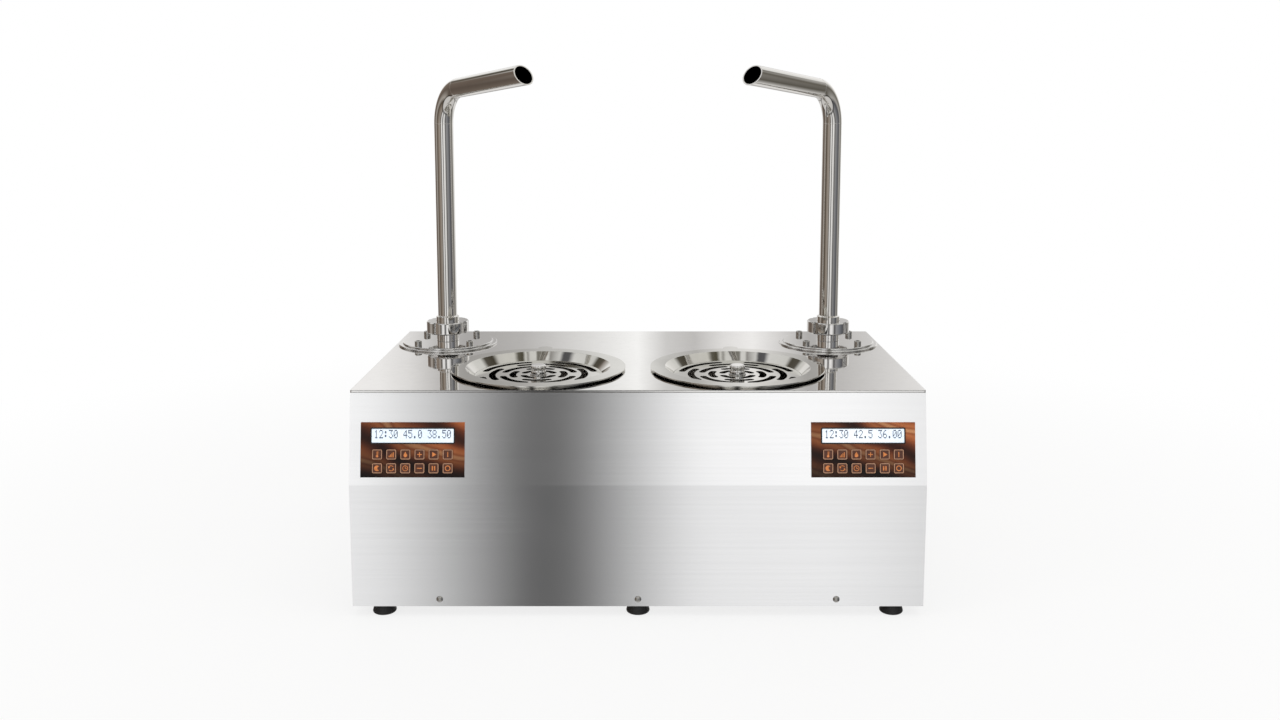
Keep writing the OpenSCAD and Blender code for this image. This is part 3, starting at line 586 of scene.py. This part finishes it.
BEZEL_W = 1.5 * MM
BEZEL_H = 0.25 * MM
BEZEL_LIP = 0.2 * MM
BEZEL_LIP_H = 0.8 * BEZEL_H
WINDOW_R = 0.8 * MM


def add_reading(side, material):
    centre, size, level = top_face(f"display_{side}")
    text = READINGS[side]
    mesh = bmesh.new()
    width = (len(text) * CELL_DOTS - 1) * DOT_PITCH
    for place, character in enumerate(text):
        for row, dots in enumerate(GLYPHS[character]):
            for column, dot in enumerate(dots):
                if dot == "1":
                    x = (place * CELL_DOTS + column + 0.5) * DOT_PITCH - width / 2
                    y = (DOT_ROWS / 2 - row - 0.5) * ROW_PITCH + TEXT_RAISE
                    add_prism(mesh, box_outline(x, y, DOT_SIZE, ROW_SIZE), DOT_T)
    matrix = on_front(centre, level + MARK_LIFT)
    finish_piece(mesh, f"display_numbers_{side}", material, "casing", matrix)


def add_bezel(side, material):
    """A frame that rises from the film, falls a little inwards and ends on the display."""
    centre, size, level = top_face(f"display_{side}")
    film = top_face(f"overlay_{side}")[2]

    def outline(reach, radius):
        return rounded_outline(size[0] + 2 * reach, size[1] + 2 * reach, radius)

    outer = outline(BEZEL_W, WINDOW_R + BEZEL_W)
    middle = outline(BEZEL_W / 2, WINDOW_R + BEZEL_W / 2)
    inner = outline(-BEZEL_LIP, WINDOW_R)
    mesh = bmesh.new()
    lines = [
        [mesh.verts.new((x, y, z)) for x, y in line]
        for line, z in ((outer, 0.0), (middle, BEZEL_H), (inner, BEZEL_LIP_H), (inner, level - film))
    ]
    for first, second in zip(lines, lines[1:]):
        for i in range(len(first)):
            j = (i + 1) % len(first)
            mesh.faces.new((first[i], first[j], second[j], second[i]))
    matrix = on_front(centre, film)
    finish_piece(mesh, f"display_bezel_{side}", material, "casing", matrix)


# Keys: a rounded outline on each cap and a plain symbol inside it

RING_INSET = 0.25 * MM
RING_W = 0.8 * MM
RING_OUTER_R = 1.5 * MM
RING_INNER_R = 0.7 * MM
SYMBOL_R = 3.4 * MM
SYMBOL_ARM = 0.85 * SYMBOL_R
STROKE = 1.0 * MM
THIN_STROKE = 0.7 * MM


def symbol_thermometer(mesh):
    """A bulb and a stem with three marks beside it."""
    bulb = 1.5 * MM
    bulb_drop = 2.0 * MM
    neck = 40
    stem = 4.4 * MM
    stem_rise = 1.4 * MM
    mark = 0.5 * MM
    mark_side = 1.6 * MM
    mark_rise = 0.4 * MM
    mark_pitch = 1.3 * MM
    add_prism(mesh, arc(bulb, neck - 270, 90 - neck, centre=(0.0, -bulb_drop)))
    add_prism(mesh, box_outline(0.0, stem_rise, STROKE, stem))
    for step in range(3):
        add_prism(mesh, box_outline(mark_side, mark_rise + mark_pitch * step, STROKE, mark))


def symbol_levels(mesh):
    """Four bars, each taller than the one before."""
    bars = 4
    bar_pitch = 1.7 * MM
    lowest = 2.0 * MM
    growth = 1.4 * MM
    for step in range(bars):
        middle = (step - (bars - 1) / 2) * bar_pitch
        height = lowest + growth * step
        add_prism(mesh, box_outline(middle, height / 2 - SYMBOL_R, STROKE, height))


def symbol_drop(mesh):
    """A point above a round belly."""
    tip = (0.0, SYMBOL_R)
    belly = 2.2 * MM
    belly_drop = 1.1 * MM
    shoulder = 65
    add_prism(mesh, [tip] + arc(belly, 90 + shoulder, 450 - shoulder, centre=(0.0, -belly_drop)))


def symbol_plus(mesh):
    add_prism(mesh, box_outline(0.0, 0.0, STROKE, 2 * SYMBOL_ARM))
    for side in (-1, 1):
        middle = side * (SYMBOL_ARM + STROKE / 2) / 2
        add_prism(mesh, box_outline(middle, 0.0, SYMBOL_ARM - STROKE / 2, STROKE))


def symbol_minus(mesh):
    add_prism(mesh, box_outline(0.0, 0.0, 2 * SYMBOL_ARM, STROKE))


def symbol_clock(mesh):
    """A ring with a long hand up and a short hand to the right."""
    long_hand = 2.2 * MM
    long_hand_rise = 0.9 * MM
    short_hand = 1.8 * MM
    add_band(mesh, circle(SYMBOL_R), circle(SYMBOL_R - THIN_STROKE))
    add_prism(mesh, box_outline(0.0, long_hand_rise, THIN_STROKE, long_hand))
    add_prism(mesh, box_outline(short_hand / 2, -THIN_STROKE / 2, short_hand, THIN_STROKE))


def symbol_triangle(mesh):
    add_prism(mesh, circle(SYMBOL_R, points=3))


def symbol_bars(mesh):
    bar_w = 1.4 * MM
    bar_h = 1.6 * SYMBOL_R
    for side in (-1, 1):
        add_prism(mesh, box_outline(side * bar_w, 0.0, bar_w, bar_h))


def symbol_moon(mesh):
    """A crescent: a wide arc, and a smaller one whose centre lies towards the gap."""
    horn = 40
    shift = 2.6 * MM
    across, rise = polar(SYMBOL_R, horn)
    reach = across - shift
    angle = math.degrees(math.atan2(rise, reach))
    outer = arc(SYMBOL_R, horn, 360 - horn)
    inner = arc(math.hypot(reach, rise), angle, 360 - angle, centre=(shift, 0.0))
    add_band(mesh, outer, inner, closed=False)


def symbol_turn(mesh):
    """Two arrows that chase each other round a circle."""
    first_start = 35
    sweep = 110
    head_sweep = 42
    head_reach = 1.5 * MM
    middle = SYMBOL_R - THIN_STROKE / 2
    for start in (first_start, first_start + 180):
        stop = start + sweep
        outer = arc(SYMBOL_R, start, stop, steps=10)
        inner = arc(SYMBOL_R - THIN_STROKE, start, stop, steps=10)
        add_band(mesh, outer, inner, closed=False)
        corners = ((middle + head_reach, stop), (middle, stop + head_sweep), (middle - head_reach, stop))
        add_prism(mesh, [polar(radius, angle) for radius, angle in corners])


def symbol_on(mesh):
    bar_w = 1.1 * MM
    bar_h = 1.8 * SYMBOL_R
    add_prism(mesh, box_outline(0.0, 0.0, bar_w, bar_h))


def symbol_off(mesh):
    add_band(mesh, circle(SYMBOL_R), circle(SYMBOL_R - STROKE))


SYMBOLS = (
    symbol_thermometer, symbol_levels, symbol_drop, symbol_plus, symbol_triangle, symbol_on,
    symbol_moon, symbol_turn, symbol_clock, symbol_minus, symbol_bars, symbol_off,
)


def add_key_marks(side, ring_ink, symbol_ink):
    for number, symbol in enumerate(SYMBOLS, start=1):
        node = f"key_{side}_{number}"
        centre, size, level = top_face(node)
        matrix = on_front(centre, level + MARK_LIFT)
        width, height = size[0] - 2 * RING_INSET, size[1] - 2 * RING_INSET
        mesh = bmesh.new()
        add_band(
            mesh,
            rounded_outline(width, height, RING_OUTER_R),
            rounded_outline(width - 2 * RING_W, height - 2 * RING_W, RING_INNER_R),
        )
        finish_piece(mesh, f"key_outline_{side}_{number}", ring_ink, node, matrix)
        mesh = bmesh.new()
        symbol(mesh)
        finish_piece(mesh, f"key_symbol_{side}_{number}", symbol_ink, node, matrix)


# The rocker's marks follow its curved face

ROCKER_BAR_W = 1.0 * MM
ROCKER_BAR_H = 5.0 * MM
ROCKER_RING_R = 2.4 * MM
ROCKER_HOLE_R = 1.5 * MM
# How far behind the rocker the rays start that find its face
RAY_START = 0.05


def add_rocker_marks(material):
    """A bar on the rocker's upper half and a ring on its lower half, laid on its face from behind."""
    node = NODES["power_switch"]
    low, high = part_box("power_switch")
    centre_x, centre_z = (low[0] + high[0]) / 2, (low[2] + high[2]) / 2
    rise = (high[2] - low[2]) / 4
    corners = [vertex.co for vertex in node.data.vertices]
    faces = [list(face.vertices) for face in node.data.polygons]
    surface = BVHTree.FromPolygons(corners, faces)
    mesh = bmesh.new()
    add_prism(mesh, box_outline(0.0, rise, ROCKER_BAR_W, ROCKER_BAR_H))
    ring = [(x, y - rise) for x, y in circle(ROCKER_RING_R)]
    hole = [(x, y - rise) for x, y in circle(ROCKER_HOLE_R)]
    add_band(mesh, ring, hole)
    for vertex in mesh.verts:
        x, z = centre_x - vertex.co.x, centre_z + vertex.co.y
        place = surface.ray_cast(Vector((x, high[1] + RAY_START, z)), Vector((0.0, -1.0, 0.0)))[0]
        vertex.co = Vector((x, place.y + MARK_LIFT + vertex.co.z, z))
    finish_piece(mesh, "rocker_marks", material, "rocker")


# Materials for the record's slots

STEELS = {
    # Polished steel's very dark edge tone is painted shade along its edges
    "polished_steel": dict(
        colour=(0.79, 0.78, 0.77), stain=(0.74, 0.73, 0.715), rough=(0.03, 0.06),
        edge=1.5 * MM, edge_wear_and_painted_light_tone=0.16, wave=0.25 * MM,
    ),
    "tray_steel": dict(
        colour=(0.62, 0.61, 0.58), stain=(0.52, 0.51, 0.48), rough=(0.03, 0.07), wave=1.2 * MM,
    ),
    "grille_steel": dict(
        colour=(0.70, 0.69, 0.66), stain=(0.60, 0.59, 0.56), rough=(0.05, 0.10), wave=0.6 * MM,
    ),
    "pipe_steel": dict(
        colour=(0.74, 0.725, 0.70), stain=(0.68, 0.66, 0.63), rough=(0.02, 0.05), wave=0.15 * MM,
    ),
    "brushed_steel": dict(
        colour=(0.89, 0.89, 0.895), stain=(0.87, 0.87, 0.875), rough=(0.15, 0.17), brushed=True,
    ),
    "pan_steel": dict(colour=(0.55, 0.55, 0.56), stain=(0.48, 0.48, 0.49), rough=(0.35, 0.5)),
    "tank_steel": dict(colour=(0.82, 0.80, 0.78), stain=(0.76, 0.74, 0.71), rough=(0.10, 0.18)),
    "auger_steel": dict(colour=(0.72, 0.71, 0.70), stain=(0.66, 0.65, 0.63), rough=(0.15, 0.25)),
    "screw_steel": dict(
        colour=(0.50, 0.49, 0.47), stain=(0.36, 0.35, 0.33), rough=(0.12, 0.20), edge=0.25 * MM,
    ),
    "supply_metal": dict(colour=(0.60, 0.61, 0.62), stain=(0.52, 0.53, 0.54), rough=(0.35, 0.5)),
    "drive_metal": dict(colour=(0.36, 0.37, 0.39), stain=(0.30, 0.31, 0.33), rough=(0.4, 0.55)),
}
MOULDED = {
    "foot_rubber": dict(colour=(0.012, 0.012, 0.013), rough=0.52),
    "seal_rubber": dict(colour=(0.72, 0.71, 0.68), rough=0.5),
    "heater_rubber": dict(colour=(0.36, 0.07, 0.03), rough=0.55),
    "inlet_plastic": dict(colour=(0.016, 0.016, 0.017), rough=0.4),
    "rocker_plastic": dict(colour=(0.02, 0.02, 0.021), rough=0.3),
    "key_print": dict(colour=(0.090, 0.022, 0.007), rough=0.38, coat=0.15),
}


def dress():
    """Gives each slot of each node the finish of its name."""
    finishes = {
        **{name: steel(name, **look) for name, look in STEELS.items()},
        **{name: moulded(name, **look) for name, look in MOULDED.items()},
        "overlay_print": printed_film("overlay_print"),
        "display_face": display_glass("display_face"),
    }
    for node in NODES.values():
        for slot in node.material_slots:
            if slot.material is not None:
                slot.material = finishes[slot.material.name.split(".")[0]]


# Floor: its half width and the distances between which it fades, in metres

FLOOR_HALF = 9.0
NEAR_FLOOR = 0.5
FAR_FLOOR = 1.6
FLOOR_COLOUR = (0.86, 0.86, 0.86)
# Share of plain white in what the camera sees of it, near and far
FLOOR_WHITE = (0.80, 1.0)


def floor_material():
    """Pale and matt, with the object's shadow near it, fading into the white backdrop.

    A mirror sees through it.
    """
    made = Shader("floor")
    diffuse = made.node("ShaderNodeBsdfDiffuse")
    made.feed(diffuse.inputs["Color"], FLOOR_COLOUR)
    white = made.node("ShaderNodeEmission")
    made.feed(white.inputs["Color"], WHITE)
    clear = made.node("ShaderNodeBsdfTransparent")
    distance = made.node("ShaderNodeVectorMath", operation="LENGTH")
    made.link(made.places["Object"], distance.inputs[0])
    fade = made.spread(distance.outputs["Value"], *FLOOR_WHITE, NEAR_FLOOR, FAR_FLOOR)
    rays = made.node("ShaderNodeLightPath").outputs
    direct = made.combine("MAXIMUM", rays["Is Camera Ray"], rays["Is Transmission Ray"])
    share = made.combine("MULTIPLY", fade, direct)
    near = made.mix_shaders(share, diffuse.outputs["BSDF"], white.outputs["Emission"])
    seen = made.mix_shaders(rays["Is Glossy Ray"], near, clear.outputs["BSDF"])
    made.link(seen, made.tree.nodes["Material Output"].inputs["Surface"])
    return made.material


def add_floor():
    mesh = bmesh.new()
    bmesh.ops.create_grid(mesh, x_segments=2, y_segments=2, size=FLOOR_HALF)
    data = bpy.data.meshes.new("floor")
    mesh.to_mesh(data)
    mesh.free()
    data.materials.append(floor_material())
    floor = add_to_scene("floor", data)


# What stands round the object, by the way it lies: degrees from straight in front, and its colour
STUDIO = (
    (-180.0, (0.96, 0.96, 0.95)),
    (-174.0, (0.46, 0.45, 0.44)),
    (-171.0, (0.41, 0.40, 0.39)),
    (-168.0, (0.88, 0.87, 0.86)),
    (-158.0, (1.00, 0.99, 0.98)),
    (-143.0, (0.22, 0.18, 0.15)),
    (-115.0, (0.14, 0.11, 0.09)),
    (-95.0, (0.50, 0.46, 0.42)),
    (-78.0, (0.10, 0.08, 0.06)),
    (-64.0, (0.26, 0.21, 0.17)),
    (-37.0, (0.42, 0.38, 0.34)),
    (-28.0, (0.06, 0.05, 0.04)),
    (-20.0, (1.00, 1.00, 1.00)),
    (-13.5, (1.00, 1.00, 1.00)),
    (-9.6, (0.56, 0.56, 0.56)),
    (-5.2, (0.05, 0.05, 0.05)),
    (-3.4, (0.10, 0.10, 0.10)),
    (2.8, (0.98, 0.98, 0.98)),
    (10.0, (1.02, 1.02, 1.02)),
    (18.0, (0.72, 0.72, 0.72)),
    (26.0, (0.06, 0.06, 0.06)),
    (37.0, (0.34, 0.34, 0.35)),
    (60.0, (0.20, 0.21, 0.23)),
    (78.0, (0.10, 0.10, 0.11)),
    (95.0, (0.50, 0.49, 0.47)),
    (118.0, (0.13, 0.12, 0.10)),
    (143.0, (0.90, 0.89, 0.87)),
    (163.0, (1.00, 0.99, 0.98)),
    (171.5, (0.44, 0.43, 0.42)),
    (174.7, (0.95, 0.94, 0.93)),
    (177.8, (0.44, 0.43, 0.42)),
    (180.0, (0.96, 0.96, 0.95)),
)

# The same for what hangs above
OVERHEAD = (
    (-180.0, (0.97, 0.97, 0.96)),
    (-150.0, (0.92, 0.92, 0.90)),
    (-143.0, (0.12, 0.11, 0.09)),
    (-132.0, (0.10, 0.09, 0.07)),
    (-126.0, (0.88, 0.88, 0.87)),
    (-98.0, (0.98, 0.98, 0.98)),
    (-90.0, (0.14, 0.14, 0.15)),
    (-79.0, (0.12, 0.12, 0.13)),
    (-72.0, (0.90, 0.90, 0.90)),
    (-46.0, (0.40, 0.39, 0.38)),
    (-38.0, (0.94, 0.94, 0.93)),
    (-22.0, (0.97, 0.97, 0.97)),
    (-13.0, (0.30, 0.29, 0.27)),
    (12.0, (0.26, 0.25, 0.22)),
    (21.0, (0.92, 0.92, 0.90)),
    (44.0, (0.90, 0.90, 0.88)),
    (52.0, (0.42, 0.41, 0.39)),
    (59.0, (0.90, 0.90, 0.87)),
    (67.0, (0.10, 0.09, 0.06)),
    (78.0, (0.16, 0.15, 0.12)),
    (86.0, (0.88, 0.87, 0.83)),
    (112.0, (0.84, 0.83, 0.80)),
    (119.0, (0.08, 0.07, 0.05)),
    (131.0, (0.12, 0.11, 0.09)),
    (138.0, (0.92, 0.92, 0.90)),
    (180.0, (0.97, 0.97, 0.96)),
)

# Heights between which one part of the studio gives way to the next: level is 0, straight up is 1
CEILING = (0.32, 0.42)
GROUND = (-0.68, -0.74)
GROUND_COLOUR = (0.70, 0.69, 0.68)
# Heights and the tones there: the cards grow lighter upwards and have a dark foot
CARD_LIFT = (-0.16, 0.04)
CARD_TONES = (0.90, 1.08)
CARD_FOOT = (-0.64, -0.58)
CARD_FOOT_TONES = (0.30, 1.0)


def add_world():
    """White for the camera, and a studio of pale and grey upright cards for everything else."""
    world = bpy.data.worlds.new("studio")
    bpy.context.scene.world = world
    world.use_nodes = True
    made = Graph(world.node_tree)
    made.tree.nodes.clear()
    direction = made.split(made.node("ShaderNodeTexCoord").outputs["Generated"])
    height = direction["Z"]
    azimuth = made.combine("ARCTAN2", direction["X"], made.combine("MULTIPLY", direction["Y"], -1.0))
    share = made.spread(azimuth, 0.0, 1.0, -math.pi, math.pi, "LINEAR")
    cards, overhead = [
        made.ramp(share, [((angle + 180.0) / 360.0, colour) for angle, colour in stops])
        for stops in (STUDIO, OVERHEAD)
    ]
    lift = made.spread(height, *CARD_TONES, *CARD_LIFT, "LINEAR")
    foot = made.spread(height, *CARD_FOOT_TONES, *CARD_FOOT, "LINEAR")
    lit = made.node("ShaderNodeVectorMath", operation="SCALE")
    made.link(cards, lit.inputs[0])
    made.link(made.combine("MULTIPLY", lift, foot), lit.inputs["Scale"])
    ground = made.spread(height, 0.0, 1.0, *GROUND, "LINEAR")
    around = made.blend(ground, lit.outputs["Vector"], GROUND_COLOUR)
    ceiling = made.spread(height, 0.0, 1.0, *CEILING, "LINEAR")
    sky = made.blend(ceiling, around, overhead)
    to_camera = made.node("ShaderNodeLightPath").outputs["Is Camera Ray"]
    background = made.node("ShaderNodeBackground")
    made.link(made.blend(to_camera, sky, WHITE), background.inputs["Color"])
    output = made.node("ShaderNodeOutputWorld")
    made.link(background.outputs["Background"], output.inputs["Surface"])


# Lamps: name, place, width and height in metres, and power in watts
LAMP_AIM = Vector((0.0, 0.0, 0.3))
LAMPS = (
    ("softbox_top", (0.0, -0.4, 2.4), (2.4, 1.6), 16.0),
    ("softbox_left", (-2.0, -1.2, 1.3), (1.2, 1.6), 8.0),
    ("softbox_right", (2.0, -1.0, 1.3), (1.2, 1.6), 8.0),
)


def add_lamps():
    for name, place, size, power in LAMPS:
        data = bpy.data.lights.new(name, "AREA")
        data.shape = "RECTANGLE"
        data.size, data.size_y = size
        data.energy = power
        lamp = add_to_scene(name, data)
        lamp.location = place
        lamp.rotation_euler = (LAMP_AIM - Vector(place)).to_track_quat("-Z", "Y").to_euler()
        lamp.visible_glossy = False


# The whole scene

bpy.context.scene.view_settings.view_transform = "Standard"
add_camera()
add_world()
add_lamps()
add_floor()
dress()
inks = {name: ink(name, **look) for name, look in INKS.items()}
for side in SIDES:
    add_bezel(side, inks["bezel_ink"])
    add_reading(side, inks["display_ink"])
    add_key_marks(side, inks["key_ring_ink"], inks["key_symbol_ink"])
add_rocker_marks(inks["rocker_ink"])
